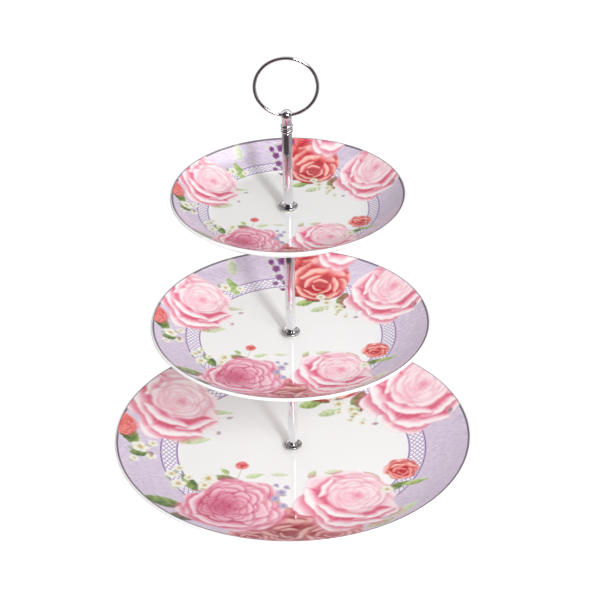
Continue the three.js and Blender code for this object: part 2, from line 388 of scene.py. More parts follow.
# %% Border print group
LAVENDER = rgb(0.89, 0.84, 0.90)
DEEP_LAVENDER = rgb(0.80, 0.745, 0.835)
PURPLE = rgb(0.61, 0.50, 0.69)
LATTICE_PURPLE = rgb(0.70, 0.62, 0.76)
EDGE_GREY = rgb(0.47, 0.42, 0.48)
GLAZE_WHITE = rgb(0.955, 0.955, 0.95)
LATTICE_WHITE = rgb(0.965, 0.955, 0.97)
LATTICE_CELLS = 110
LATTICE_ROWS = 3
LINE = 0.0045  # half the width of the purple lines, as a share of the plate's radius
LINE_BLUR = 0.0015
THREAD_SLANT = 0.7
THREAD_STRETCH = (260, 1500, 260)

border_print, given, wanted = start_group(
    "Border print",
    [
        ("Place", "Vector", None),
        ("Plate radius", "Float", 0.13),
        ("Lattice start", "Float", 0.655),
        ("Lattice end", "Float", 0.746),
        ("Edge line start", "Float", 0.976),
    ],
    [("Color", "Color", None), ("Linen", "Float", None)],
)


def line_at(tree, value, place):
    """1 on a thin line where the value equals the place."""
    off = maths(tree, "ABSOLUTE", maths(tree, "SUBTRACT", value, place))
    return between(tree, off, LINE + LINE_BLUR, LINE - LINE_BLUR)


def draw_border(tree):
    flat = node(tree, "ShaderNodeSeparateXYZ", [("Vector", given["Place"])]).outputs
    squares = maths(tree, "MULTIPLY_ADD", flat["X"], flat["X"], maths(tree, "MULTIPLY", flat["Y"], flat["Y"]))
    out = maths(tree, "DIVIDE", maths(tree, "SQRT", squares), given["Plate radius"])
    round_share = maths(tree, "DIVIDE", maths(tree, "ARCTAN2", flat["Y"], flat["X"]), 2 * math.pi)

    # Linen: two sets of threads that cross at a slant.
    threads = []
    for slant in (THREAD_SLANT, THREAD_SLANT + math.pi / 2):
        turned = node(tree, "ShaderNodeMapping", [("Vector", given["Place"])], vector_type="POINT")
        turned.inputs["Rotation"].default_value = (0, 0, slant)
        turned.inputs["Scale"].default_value = THREAD_STRETCH
        threads.append(noise(tree, turned.outputs[0], 1.0, 1.0))
    linen = between(tree, maths(tree, "ADD", *threads), 0.70, 1.30)
    cloth = blend(tree, linen, LAVENDER, DEEP_LAVENDER)

    # Lattice: two families of slanting lines that cross.
    width = maths(tree, "SUBTRACT", given["Lattice end"], given["Lattice start"])
    row = maths(tree, "DIVIDE", maths(tree, "SUBTRACT", out, given["Lattice start"]), width)
    row = maths(tree, "MULTIPLY", row, LATTICE_ROWS)
    cell = maths(tree, "MULTIPLY", round_share, LATTICE_CELLS)
    bars = []
    for operation in ("ADD", "SUBTRACT"):
        near = maths(tree, "PINGPONG", maths(tree, operation, cell, row), 0.5)
        bars.append(between(tree, near, 0.17, 0.08))
    lattice = blend(tree, maths(tree, "MAXIMUM", *bars), LATTICE_WHITE, LATTICE_PURPLE)

    # From the well outwards, each zone is laid over the last.
    in_lattice = maths(tree, "GREATER_THAN", out, given["Lattice start"])
    in_cloth = maths(tree, "GREATER_THAN", out, given["Lattice end"])
    colour = blend(tree, in_lattice, GLAZE_WHITE, lattice)
    colour = blend(tree, in_cloth, colour, cloth)
    for place in (given["Lattice start"], given["Lattice end"]):
        colour = blend(tree, line_at(tree, out, place), colour, PURPLE)
    on_edge = between(tree, out, maths(tree, "SUBTRACT", given["Edge line start"], 0.004), given["Edge line start"])
    put(wanted["Color"], blend(tree, on_edge, colour, EDGE_GREY))
    put(wanted["Linen"], maths(tree, "MULTIPLY", linen, in_cloth))


draw_border(border_print)
print("group:", border_print.name, "with", len(border_print.nodes), "nodes")

# %% [markdown]
# ## Porcelain
# The plates are white porcelain under a clear, glossy glaze. The flowers reach the material as a colour
# attribute that is painted on the plate's points further down, and the border comes from its group. The
# print stops at the edge, where the glaze is white, and the foot ring is left bare so that the plate doesn't
# stick to the kiln shelf. A print fired on the glaze stands up by a few hundredths of a millimetre.

# %% Porcelain
BARE_CLAY = rgb(0.87, 0.84, 0.79)


def make_porcelain(name, radius, lattice_start, lattice_end, edge_line_start):
    material, tree, shader = start_material(name)
    place = surface_place(tree)
    border = place_group(
        tree,
        border_print,
        Place=place,
        Plate_radius=radius,
        Lattice_start=lattice_start,
        Lattice_end=lattice_end,
        Edge_line_start=edge_line_start,
    )
    flowers = node(tree, "ShaderNodeAttribute", attribute_name="flowers").outputs
    printed = node(tree, "ShaderNodeAttribute", attribute_name="printed").outputs["Fac"]
    bare = node(tree, "ShaderNodeAttribute", attribute_name="bare").outputs["Fac"]
    print_colour = blend(tree, flowers["Alpha"], border["Color"], flowers["Color"])
    glaze = blend(tree, printed, GLAZE_WHITE, print_colour)
    put(shader["Base Color"], blend(tree, bare, glaze, BARE_CLAY))

    glossy = maths(tree, "MULTIPLY_ADD", noise(tree, place, 35.0, 4.0), 0.05, 0.035)
    put(shader["Roughness"], maths(tree, "MULTIPLY_ADD", bare, 0.7, glossy))
    shader["IOR"].default_value = 1.52

    relief = maths(tree, "MULTIPLY_ADD", flowers["Alpha"], 0.6, maths(tree, "MULTIPLY", border["Linen"], 0.25))
    ripple = noise(tree, place, 22.0, 1.0)
    raise_surface(tree, shader, maths(tree, "MULTIPLY_ADD", ripple, 1.6, relief), 0.35, 0.0001)
    return material


print("porcelain recipe ready")

# %% [markdown]
# ## Painting flowers
# A floral transfer is painted once by an artist and printed at three sizes. The same is done here: a square
# sheet of numbers holds a colour and how much ink covers each spot. Flowers could be modelled or made from
# noise, but a painter's way gives the most life: each petal is laid over the last with a deep fold beneath
# it and a pale lip at its edge. Places on the sheet are shares of the plate's radius.

# %% The sheet
SHEET = 900  # spots along each side of the sheet
WRINKLES = 64  # coarse squares of the noise that makes petals uneven


def ease(low, high, value):
    """The same smooth rise as the material helper's, for arrays."""
    t = np.clip((value - low) / (high - low), 0.0, 1.0)
    return t * t * (3 - 2 * t)


def smooth_noise(seed):
    coarse = np.random.default_rng(seed).random((WRINKLES + 1, WRINKLES + 1)).astype(np.float32)
    at = np.arange(SHEET) * WRINKLES / SHEET
    cell = at.astype(int)
    share = ease(0, 1, (at - cell).astype(np.float32))
    rows = coarse[cell] * (1 - share)[:, None] + coarse[cell + 1] * share[:, None]
    return rows[:, cell] * (1 - share) + rows[:, cell + 1] * share - 0.5


ink = np.ones((SHEET, SHEET, 3), np.float32)
cover = np.zeros((SHEET, SHEET), np.float32)
along = (np.arange(SHEET, dtype=np.float32) + 0.5) / SHEET * 2 - 1
sheet_x, sheet_y = np.meshgrid(along, along)
wrinkle = smooth_noise(4)


def window(x, y, reach):
    """The part of the sheet within reach of a place, and how far east and north of it each spot there is."""
    cells = [[int((v + side * reach + 1) / 2 * SHEET) for v in (x, y)] for side in (-1, 1)]
    low, high = (np.clip(c, 0, SHEET) for c in cells)
    part = slice(low[1], high[1] + 2), slice(low[0], high[0] + 2)
    return part, sheet_x[part] - x, sheet_y[part] - y


def tint(part, mask, colour):
    """Colours the ink without adding to what it covers, as a shadow does."""
    share = mask[..., None]
    ink[part] = ink[part] * (1 - share) + np.asarray(colour, np.float32) * share


def lay(part, mask, colour):
    """Lays ink over what is there."""
    tint(part, mask, colour)
    cover[part] += mask * (1 - cover[part])


def ramp(value, *stops):
    """A colour for each value, from (place, colour) stops."""
    places = [place for place, _ in stops]
    return np.stack([np.interp(value, places, [colour[i] for _, colour in stops]) for i in range(3)], -1)


print("sheet:", SHEET, "by", SHEET)

# %% [markdown]
# ## Petals
# A petal is deep in colour where it tucks under the next one and almost white at its lip, with faint streaks.
# Two kinds are enough. A plain petal is an oval with a wavy outline and a notch at its tip, and the petals
# laid over it hide all but its lip. A rolled petal curls back, so it shows as a broad crescent with a thick
# pale lip and a dark fold behind it.

# %% Petals
PINK = {"deep": (0.74, 0.24, 0.38), "mid": (0.88, 0.50, 0.60), "pale": (0.95, 0.72, 0.78), "lip": (0.99, 0.88, 0.91)}
SOFT = {"deep": (0.87, 0.38, 0.50), "mid": (0.95, 0.66, 0.73), "pale": (0.98, 0.85, 0.88), "lip": (1.0, 0.96, 0.96)}
BLUSH = {"deep": (0.84, 0.42, 0.53), "mid": (0.92, 0.64, 0.71), "pale": (0.95, 0.76, 0.81), "lip": (0.98, 0.88, 0.90)}
FACE = {"deep": (0.91, 0.62, 0.69), "mid": (0.96, 0.77, 0.82), "pale": (0.985, 0.89, 0.91), "lip": (1.0, 0.96, 0.95)}
CORAL = {"deep": (0.72, 0.14, 0.19), "mid": (0.87, 0.34, 0.35), "pale": (0.95, 0.55, 0.51), "lip": (0.99, 0.78, 0.73)}
# Deeper, greyer coral for the roses on the front of the rim: partly their own colour, partly painted shade where that
# rim faces away from the light.
DUSKY_AND_SHADED_CORAL = {"deep": (0.62, 0.24, 0.27), "mid": (0.76, 0.42, 0.42), "pale": (0.85, 0.58, 0.56), "lip": (0.93, 0.74, 0.71)}


def petal(x, y, angle, far, near, wide, inks, lean, lip, luck):
    """A plain petal that reaches from near to far along an angle, seen from the flower's middle."""
    part, east, north = window(x, y, far * 1.5 + wide)
    u = east * math.cos(angle) + north * math.sin(angle)
    v = (north * math.cos(angle) - east * math.sin(angle)) / wide
    half, middle = (far - near) / 2, (far + near) / 2
    way = np.arctan2(v, (u - middle) / half)
    outline = 1 + 0.05 * np.cos(3 * way + luck.uniform(0, 6)) + 0.035 * np.cos(5 * way + luck.uniform(0, 6))
    outline -= 0.07 * np.exp(-(((way - luck.uniform(-0.25, 0.25)) / 0.16) ** 2))
    reach = np.hypot((u - middle) / half, v) / outline
    tint(part, 0.66 * ease(1.30, 0.97, reach), inks["deep"])
    streaks = 0.10 * wrinkle[part] + 0.045 * np.sin(21 * v + 9 * wrinkle[part])
    t = np.clip((u - near) / (far - near) + streaks + lean * v, 0, 1)
    colour = ramp(t, (0, inks["deep"]), (0.32, inks["mid"]), (0.70, inks["pale"]))
    rim = (lip * ease(0.78, 0.97, reach) * ease(-0.2, 0.5, (u - middle) / half))[..., None]
    colour = colour * (1 - rim) + np.asarray(inks["lip"]) * rim
    soft = 0.007 / max(half, 0.02)
    lay(part, ease(1 + soft, 1 - soft, reach), colour)


def rolled(x, y, reach, depth, start, end, inks, flare=0.0):
    """A rolled petal: a crescent round the flower's heart, between two angles in degrees."""
    part, east, north = window(x, y, reach * 1.4)
    middle, half = math.radians((start + end) / 2), math.radians((end - start) / 2)
    turned = np.arctan2(north * math.cos(middle) - east * math.sin(middle),
                        east * math.cos(middle) + north * math.sin(middle)) / half
    edge = reach * (1 + flare * turned**2 + 0.03 * np.sin(5 * turned + 9 * reach) + 0.05 * wrinkle[part])
    narrow = np.sqrt(np.clip(1 - turned**4, 0.02, 1))
    inward = (edge - np.hypot(east, north)) / (depth * narrow)
    ends = ease(1.0, 0.86, np.abs(turned))
    tint(part, 0.75 * ease(-0.75, 0.05, inward) * (inward < 0.3) * ends, inks["deep"])
    streaks = 0.07 * np.sin(33 * turned + 12 * wrinkle[part]) * np.clip(inward, 0, 1)
    t = inward + streaks + 0.15 * turned**2
    colour = ramp(t, (0, inks["pale"]), (0.10, inks["lip"]), (0.34, inks["lip"]), (0.52, inks["pale"]),
                  (0.74, inks["mid"]), (1.0, inks["deep"]))
    crisp = 0.005 / depth
    lay(part, ease(-crisp, crisp, inward) * ease(1.9, 1.3, inward) * ends, colour)


print("deepest ink:", DUSKY_AND_SHADED_CORAL["deep"], "and palest:", SOFT["lip"])

# %% [markdown]
# ## Roses
# A full rose is rings of plain petals, laid from the outside in, each ring smaller and shifted towards the
# heart of the flower. An open rose turns its face up and away: big rolled petals fall forward on one side,
# and its face behind them is pale and shallow. The coral rose is seen from the side, with tall petals behind
# its heart and narrow ones in front.

# %% Roses
# Each ring: its size and its number of petals, and how wide they are, as shares of the rose's size.
FULL = ((1.0, 9, 0.46), (0.92, 8, 0.40), (0.82, 8, 0.35), (0.72, 7, 0.31))
CORE = ((0.60, 7, 0.27), (0.50, 7, 0.22), (0.40, 6, 0.18), (0.30, 5, 0.14), (0.20, 4, 0.10), (0.11, 3, 0.07))
LOOSE = ((1.0, 5, 0.68), (0.84, 5, 0.55), (0.62, 4, 0.46), (0.42, 4, 0.31), (0.27, 4, 0.20), (0.15, 3, 0.12))
HEART = ((0.62, 6, 0.40), (0.50, 6, 0.30), (0.38, 5, 0.22), (0.27, 5, 0.16), (0.17, 4, 0.10), (0.09, 3, 0.06))
BUD = ((1.0, 3, 0.7), (0.6, 3, 0.5))
# Each plain petal: its angle in degrees, how far it reaches and how wide it is.
OPEN_PLAIN = (
    (120, 0.85, 0.5), (75, 0.72, 0.5), (160, 1.1, 0.45), (30, 0.68, 0.5), (345, 0.78, 0.5), (200, 1.32, 0.5),
    (300, 1.14, 0.5), (252, 1.46, 0.62),
)
CORAL_PLAIN = ((90, 1.30, 0.7), (145, 1.05, 0.6), (35, 1.15, 0.6), (205, 0.85, 0.6), (335, 0.9, 0.6), (270, 0.80, 0.7))
# Each rolled petal: how far it reaches, its depth, the angles where it starts and ends, and how much it flares.
OPEN_ROLLED = (
    (1.20, 0.34, 236, 296, 0.02), (1.00, 0.34, 162, 240, 0.14), (0.95, 0.24, 262, 322, 0.00),
    (0.82, 0.26, 198, 284, 0.06), (0.74, 0.20, 128, 186, 0.05),
)
CORAL_ROLLED = (
    (1.22, 0.55, 38, 118, 0.02), (1.05, 0.42, 100, 196, 0.05), (0.98, 0.50, 20, 92, 0.02),
    (0.78, 0.30, 170, 262, 0.03), (0.76, 0.28, 250, 340, 0.03), (0.80, 0.40, 60, 150, 0.00),
    (0.62, 0.26, 320, 400, 0.02), (0.55, 0.20, 190, 290, 0.02), (0.52, 0.24, 80, 190, 0.00),
    (0.40, 0.16, 260, 380, 0.00), (0.34, 0.16, 20, 140, 0.00), (0.24, 0.12, 150, 290, 0.00),
)


def rose(x, y, size, inks, rings=LOOSE, eye=(0, 0), seed=1):
    luck = random.Random(seed)
    for share, count, wide in rings:
        middle_x = x + eye[0] * size * (1 - share)
        middle_y = y + eye[1] * size * (1 - share)
        first = luck.uniform(0, 2 * math.pi)
        order = list(range(count))
        luck.shuffle(order)
        for i in order:
            angle = first + 2 * math.pi * i / count + luck.uniform(-0.16, 0.16)
            far = size * share * luck.uniform(0.88, 1.06)
            across = size * wide * luck.uniform(0.85, 1.1)
            lean, lip = luck.uniform(-0.2, 0.2), luck.uniform(0.45, 1.0)
            petal(middle_x, middle_y, angle, far, -0.12 * size * share, across, inks, lean, lip, luck)


def wash(x, y, reach, colour, strength):
    """A soft glaze of colour over what is there."""
    part, east, north = window(x, y, reach)
    tint(part, strength * ease(1.0, 0.1, np.hypot(east, north) / reach) * cover[part], colour)


def full_rose(x, y, size, seed):
    """Pale outside, with a deep pink core that lies to the left; its deep wash is partly painted shade."""
    rose(x, y, size, BLUSH, FULL, eye=(-0.10, 0.20), seed=seed)
    rolled(x - 0.04 * size, y + 0.06 * size, 0.80 * size, 0.22 * size, 205, 300, BLUSH)
    rolled(x - 0.04 * size, y + 0.06 * size, 0.74 * size, 0.20 * size, 130, 215, BLUSH)
    rose(x - 0.06 * size, y + 0.08 * size, size, PINK, CORE, seed=seed + 1)
    # Deep pink wash over the left of the rose: partly its own colour, partly painted shade, as the rose lies on the
    # front of the plate.
    wash(x - 0.20 * size, y + 0.08 * size, 0.62 * size, PINK["deep"], 0.62)


def shaped_rose(x, y, size, plain, crescents, left_inks, inks, lean, lip, seed):
    """x and y are the heart of the flower. Its plain petals come first, then its rolled ones."""
    luck = random.Random(seed)
    for angle, far, wide in plain:
        pot = left_inks if 110 < angle < 230 else inks
        petal(x, y, math.radians(angle), far * size, -0.1 * size, wide * size, pot, lean, lip, luck)
    for reach, depth, start, end, flare in crescents:
        rolled(x, y, reach * size, depth * size, start, end, left_inks, flare)


def open_rose(x, y, size, seed):
    shaped_rose(x, y, size, OPEN_PLAIN, OPEN_ROLLED, SOFT, FACE, 0.1, 0.9, seed)
    rose(x, y, size, FACE, HEART, seed=seed)
    wash(x + 0.02 * size, y - 0.02 * size, 0.20 * size, SOFT["deep"], 0.45)
    wash(x - 0.25 * size, y - 0.12 * size, 0.42 * size, SOFT["mid"], 0.40)


def coral_rose(x, y, size, inks, seed):
    """The heart lies low in the flower."""
    shaped_rose(x, y, size, CORAL_PLAIN, CORAL_ROLLED, inks, inks, 0.2, 1.0, seed)
    wash(x, y, 0.22 * size, inks["deep"], 0.7)


print("rose rings:", len(FULL), "full,", len(LOOSE), "loose,", len(HEART), "in a heart")

# %% [markdown]
# ## Leaves, blossoms and stems
# The small things fill the gaps. A leaf is pointed at both ends, darker on one side of its vein. A blossom
# is five round petals with a coloured eye. A stem is a bowed line. They are placed by an angle round the
# plate, in degrees from the right-hand side, and a share of its radius.

# %% Leaves, blossoms and stems
STEM_DOTS = 31


def spot(angle, share):
    return share * math.cos(math.radians(angle)), share * math.sin(math.radians(angle))


def leaf(angle, share, turned, length, wide, inks, strength=1.0):
    x, y = spot(angle, share)
    part, east, north = window(x, y, length * 0.55)
    a = math.radians(turned)
    u = (east * math.cos(a) + north * math.sin(a)) / (length / 2)
    v = north * math.cos(a) - east * math.sin(a)
    bend = np.clip(1 - np.abs(u + 0.12 * (1 - u * u)) ** 1.9, 0, 1)
    half = wide / 2 * bend * (1 + 0.05 * np.sin(26 * u))
    shade = 0.5 + v / wide + 0.25 * np.sin(13 * u + 9 * np.abs(v) / wide) + 0.5 * wrinkle[part]
    colour = ramp(np.clip(shade, 0, 1), (0, inks[0]), (1, inks[1]))
    vein = 0.5 * ease(0.005, 0.001, np.abs(v))[..., None]
    colour = colour * (1 - vein) + np.asarray(inks[1]) * vein
    lay(part, strength * ease(0.004, -0.004, np.abs(v) - half) * (np.abs(u) < 1), colour)


def blossom(angle, share, size, inks, seed):
    x, y = spot(angle, share)
    part, east, north = window(x, y, size * 1.2)
    out = np.hypot(east, north) / size
    first = random.Random(seed).uniform(0, 2 * math.pi)
    for i in range(5):
        a = first + 2 * math.pi * i / 5
        near = np.hypot(east - 0.52 * size * math.cos(a), north - 0.52 * size * math.sin(a)) / (0.5 * size)
        tint(part, 0.45 * ease(1.35, 0.95, near), tuple(0.68 * c for c in inks[0]))
        colour = ramp(out, (0, tuple(0.84 * c for c in inks[0])), (0.6, inks[0]))
        lay(part, 0.95 * ease(1.05, 0.9, near), colour)
    lay(part, ease(0.34, 0.22, out), inks[1])


def stem(start, end, bow, wide=0.005, colour=(0.48, 0.58, 0.30)):
    (x0, y0), (x1, y1) = spot(*start), spot(*end)
    middle_x, middle_y = (x0 + x1) / 2 - (y1 - y0) * bow, (y0 + y1) / 2 + (x1 - x0) * bow
    for t in np.linspace(0, 1, STEM_DOTS):
        x = (1 - t) ** 2 * x0 + 2 * t * (1 - t) * middle_x + t * t * x1
        y = (1 - t) ** 2 * y0 + 2 * t * (1 - t) * middle_y + t * t * y1
        part, east, north = window(x, y, 3 * wide)
        lay(part, 0.55 * ease(1.2, 0.5, np.hypot(east, north) / wide), colour)


GREEN = ((0.30, 0.40, 0.20), (0.60, 0.68, 0.42))
FRESH = ((0.52, 0.63, 0.32), (0.80, 0.87, 0.60))
FAINT = ((0.76, 0.83, 0.62), (0.88, 0.92, 0.78))
SHADE = ((0.22, 0.28, 0.22), (0.45, 0.52, 0.38))
BROWN = ((0.45, 0.33, 0.38), (0.70, 0.55, 0.55))
CREAM = ((0.97, 0.97, 0.91), (0.82, 0.70, 0.40))
VIOLET = ((0.56, 0.30, 0.55), (0.38, 0.20, 0.42))
LILAC = ((0.76, 0.72, 0.84), (0.58, 0.50, 0.66))
print("small motifs ready")

# %% [markdown]
# ## The spray
# Now the picture is composed, from what lies furthest back to what lies on top: leaves and stems, then the
# roses, then blossoms over their edges. Two groups of roses face each other across the plate, with gaps at
# both sides where the lattice shows.

# %% Leaves and stems behind
for row in (
    (176, 0.93, -62, 0.26, 0.12, GREEN), (186, 0.86, 20, 0.14, 0.07, GREEN),
    (220, 0.90, -8, 0.27, 0.13, GREEN), (231, 0.93, 25, 0.22, 0.12, SHADE),
    (209, 0.66, 118, 0.20, 0.075, GREEN), (140, 0.56, -8, 0.20, 0.05, FRESH, 0.8),
    (171, 0.56, 4, 0.19, 0.085, FAINT, 0.9), (172, 0.64, 150, 0.13, 0.07, FRESH, 0.7),
    (124, 0.76, 118, 0.20, 0.09, FRESH), (118, 0.92, 100, 0.16, 0.08, FRESH, 0.7),
    (82, 0.55, -4, 0.21, 0.075, GREEN), (76, 0.44, 20, 0.16, 0.085, FRESH),
    (72, 0.50, 150, 0.15, 0.07, GREEN), (58, 0.40, 25, 0.16, 0.07, FRESH, 0.8),
    (49, 0.60, 80, 0.20, 0.12, GREEN), (45, 0.52, 60, 0.16, 0.08, GREEN), (22, 0.74, -4, 0.22, 0.10, FAINT),
    (28, 0.70, 150, 0.14, 0.08, FRESH, 0.8), (326, 0.69, 28, 0.16, 0.06, GREEN),
    (331, 0.77, 10, 0.17, 0.05, FRESH), (322, 0.62, 150, 0.13, 0.06, GREEN, 0.8),
    (327, 0.52, 140, 0.13, 0.05, FRESH, 0.8), (320, 0.47, 155, 0.10, 0.04, FAINT),
    (217, 0.47, -15, 0.16, 0.06, GREEN), (210, 0.44, 130, 0.08, 0.04, FRESH),
    (231, 0.34, 15, 0.12, 0.05, FAINT), (254, 0.27, -6, 0.12, 0.035, FRESH, 0.7),
    (292, 0.28, 60, 0.09, 0.05, FRESH, 0.8), (313, 0.33, 10, 0.12, 0.05, FAINT, 0.9),
    (300, 0.40, 40, 0.10, 0.04, FAINT, 0.9), (300, 0.93, 30, 0.20, 0.09, FRESH, 0.8),
    (312, 0.90, 45, 0.22, 0.08, FAINT, 0.9), (306, 0.86, 20, 0.18, 0.08, GREEN, 0.6),
    (256, 0.60, 60, 0.12, 0.05, GREEN), (268, 0.66, 90, 0.14, 0.06, GREEN),
):
    leaf(*row)
for row in (
    ((210, 0.33), (224, 0.45), 0.1), ((140, 0.48), (150, 0.62), 0.15, 0.004),
    ((160, 0.45), (158, 0.60), -0.2, 0.004), ((76, 0.44), (66, 0.60), 0.2, 0.006),
    ((38, 0.40), (44, 0.56), 0.1, 0.004), ((24, 0.52), (36, 0.62), 0.1, 0.004),
    ((15, 0.93), (30, 0.84), 0.2, 0.004, (0.55, 0.56, 0.48)), ((329, 0.86), (322, 0.70), 0.1, 0.004),
    ((187, 0.90), (183, 0.72), 0.1, 0.004), ((199, 0.80), (206, 0.62), -0.1, 0.004),
):
    stem(*row)
print("inked so far:", round(float((cover > 0.5).mean()) * 100, 1), "% of the sheet")

# %% Roses on the spray
rose(-0.89, 0.43, 0.15, CORAL, seed=21)
rose(-0.975, 0.14, 0.10, CORAL, seed=22)
open_rose(-0.645, 0.450, 0.275, 31)
rose(0.08, 0.93, 0.14, CORAL, eye=(0, -0.2), seed=13)
coral_rose(0.215, 0.645, 0.225, CORAL, 15)
open_rose(0.44, 1.13, 0.25, 12)
open_rose(0.755, 0.515, 0.290, 17)
# The front coral roses take the darker inks, partly as painted shade for the front of the rim.
coral_rose(-0.02, -0.86, 0.24, DUSKY_AND_SHADED_CORAL, 19)
coral_rose(0.20, -0.90, 0.17, DUSKY_AND_SHADED_CORAL, 20)
coral_rose(-0.22, -0.93, 0.13, DUSKY_AND_SHADED_CORAL, 24)
open_rose(0.345, -0.46, 0.275, 27)
full_rose(-0.34, -0.57, 0.295, 28)
coral_rose(0.60, -0.25, 0.095, CORAL, 29)
rose(-0.286, -0.165, 0.04, CORAL, BUD, seed=3)
print("inked so far:", round(float((cover > 0.5).mean()) * 100, 1), "% of the sheet")

# %% Blossoms and buds on top
CREAM_BLOSSOMS = (
    (182, 0.86, 0.050), (187, 0.80, 0.032), (200, 0.72, 0.040), (208, 0.72, 0.045), (211, 0.55, 0.050),
    (215, 0.60, 0.036), (128, 0.78, 0.040), (121, 0.72, 0.032), (47, 0.50, 0.045), (42, 0.48, 0.040),
    (58, 0.50, 0.045), (66, 0.55, 0.036), (38, 0.42, 0.028), (30, 0.46, 0.030), (190, 0.90, 0.028),
    (321, 0.66, 0.036), (196, 0.66, 0.032), (205, 0.64, 0.030), (178, 0.79, 0.030), (52, 0.43, 0.026),
)
VIOLET_BLOSSOMS = (
    (94, 0.90, 0.034), (97, 0.84, 0.034), (91, 0.83, 0.030), (96, 0.76, 0.034), (93, 0.70, 0.028),
    (99, 0.70, 0.026), (95, 0.62, 0.022), (99, 0.90, 0.026), (88, 0.95, 0.028),
)
LILAC_BLOSSOMS = ((261, 0.43, 0.030), (258, 0.49, 0.028), (255, 0.37, 0.018), (264, 0.55, 0.026), (264, 0.38, 0.020))
for inks, group in ((CREAM, CREAM_BLOSSOMS), (VIOLET, VIOLET_BLOSSOMS), (LILAC, LILAC_BLOSSOMS)):
    for number, (angle, share, size) in enumerate(group):
        leaf(angle + 2, share + 0.8 * size, 50 * number, 1.6 * size, 0.8 * size, FRESH if number % 2 else GREEN, 0.7)
        blossom(angle, share, size, inks, number)
for angle, share, turned in ((160, 0.45, 80), (140, 0.47, 20), (15, 0.93, 70), (25, 0.52, 20), (185, 0.80, 100)):
    leaf(angle, share, turned, 0.05, 0.03, BROWN, 0.8)
print("blossoms:", len(CREAM_BLOSSOMS) + len(VIOLET_BLOSSOMS) + len(LILAC_BLOSSOMS))

# %% [markdown]
# ## Plates
# Each plate is a coupe plate: a flat well, a rim that rises in one even curve, a rounded edge and a foot
# ring. A potter presses it over a turning mould, so the outline is turned here in the same way. The points
# on its face lie about a millimetre apart, because the flowers are painted on them. The overall sizes come
# from the frame, and the few others are the ones that the engineering model uses.

# %% Plate outline
WALL = 4.0
EDGE_WALL = 2.4  # the wall thins evenly up the rim
FOOT_INSET = 4.0
FOOT_WIDTH = 5.0
HOLE_RADIUS = 3.0
TOUCH_GAP = 0.3
WELL_RADIUS = {"bottom": 75.4, "middle": 57.5, "top": 47.1}
LATTICE = {"bottom": (0.655, 0.746), "middle": (0.654, 0.752), "top": (0.683, 0.769)}
PLATE_STEPS = 600
FACE_POINTS = 100  # along the decorated part of the face
PLAIN_SHARE = 0.2  # inside this share of the radius, nothing is printed
PRINT_MARGIN = 1.1  # white glaze left outside the print
EDGE_LINE = 1.2
HOLE_EASE = 0.5
FOOT_STEPS = 16
FOOT_ROUNDNESS = 0.55  # below 1, the foot ring's section is squarer than an oval
FOOT_FLARE = 0.2  # how much the foot ring widens into the plate
UNDER_RIM_STEPS = 12
EDGE_STEPS = 14
CENTRE_START = 20  # where the flat underside's first ring of points lies


def plate_sizes(tier):
    """A plate's sizes in millimetres, worked out from the frame."""
    low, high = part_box(f"{tier}_plate")
    radius = (high.x - low.x) / 2 / MM
    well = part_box(f"{tier}_top_gasket")[0].z / MM - TOUCH_GAP
    well_radius = WELL_RADIUS[tier]
    depth = high.z / MM - well
    return {
        "radius": radius,
        "well": well,
        "well_radius": well_radius,
        "rise": radius - EDGE_WALL / 2 - well_radius,
        "climb": depth + WALL / 2 - EDGE_WALL / 2,
        "foot": low.z / MM,
    }


def middle_height(size, r):
    """The height of the middle of the wall at a distance from the spindle."""
    share = np.clip((r - size["well_radius"]) / size["rise"], 0, 1)
    return size["well"] - WALL / 2 + size["climb"] * share**2


def face_point(size, share, side):
    """A point on the upper (side 1) or lower (side -1) face of the rim, half a wall off its middle."""
    slope = math.atan(2 * size["climb"] * share / size["rise"])
    r = size["well_radius"] + size["rise"] * share
    z = size["well"] - WALL / 2 + size["climb"] * share**2
    off = side * (WALL + (EDGE_WALL - WALL) * share) / 2
    return r - off * math.sin(slope), z + off * math.cos(slope)


def plate_outline(size):
    under = size["well"] - WALL
    foot_middle = size["well_radius"] - FOOT_INSET - FOOT_WIDTH / 2
    foot_half = FOOT_WIDTH / 2 + FOOT_FLARE
    outline = [(HOLE_RADIUS, under + HOLE_EASE), (HOLE_RADIUS + HOLE_EASE, under), (CENTRE_START, under)]
    for i in range(FOOT_STEPS + 1):
        angle = math.pi * (1 - i / FOOT_STEPS)
        across, down = math.cos(angle), math.sin(angle)
        r = foot_middle + foot_half * math.copysign(abs(across) ** FOOT_ROUNDNESS, across)
        outline.append((r, under - (under - size["foot"]) * down**FOOT_ROUNDNESS))
    outline += [face_point(size, i / UNDER_RIM_STEPS, -1) for i in range(UNDER_RIM_STEPS)]

    slope = math.degrees(math.atan(2 * size["climb"] / size["rise"]))
    edge_middle = (size["radius"] - EDGE_WALL / 2, size["well"] - WALL / 2 + size["climb"])
    outline += arc(edge_middle, EDGE_WALL / 2, slope - 90, slope + 90, EDGE_STEPS)

    start = PLAIN_SHARE * size["radius"]
    step = (size["radius"] - EDGE_WALL / 2 - start) / FACE_POINTS
    flat_points = int((size["well_radius"] - start) / step)
    rim_points = FACE_POINTS - flat_points
    outline += [face_point(size, i / rim_points, 1) for i in range(rim_points - 1, 0, -1)]
    outline += [(start + step * i, size["well"]) for i in range(flat_points, -1, -1)]
    outline += [(r, size["well"]) for r in (start * 0.75, start * 0.5, HOLE_RADIUS + 2)]
    hole_edge = (HOLE_RADIUS + HOLE_EASE, size["well"] - HOLE_EASE)
    outline += arc(hole_edge, HOLE_EASE, 90, 180, 4)
    return outline + outline[:1]


print("outline points:", len(plate_outline(plate_sizes("bottom"))))

# %% [markdown]
# ## Printing the flowers
# The sheet is laid on a plate by looking up each of its points. The colours are averaged over small squares
# first, so that thin stems fade instead of breaking up. Two more attributes say where the print may show and
# where the foot is bare.

# %% Printing the flowers
def halve(values):
    """Averages squares of two by two spots."""
    return (values[::2, ::2] + values[1::2, ::2] + values[::2, 1::2] + values[1::2, 1::2]) / 4


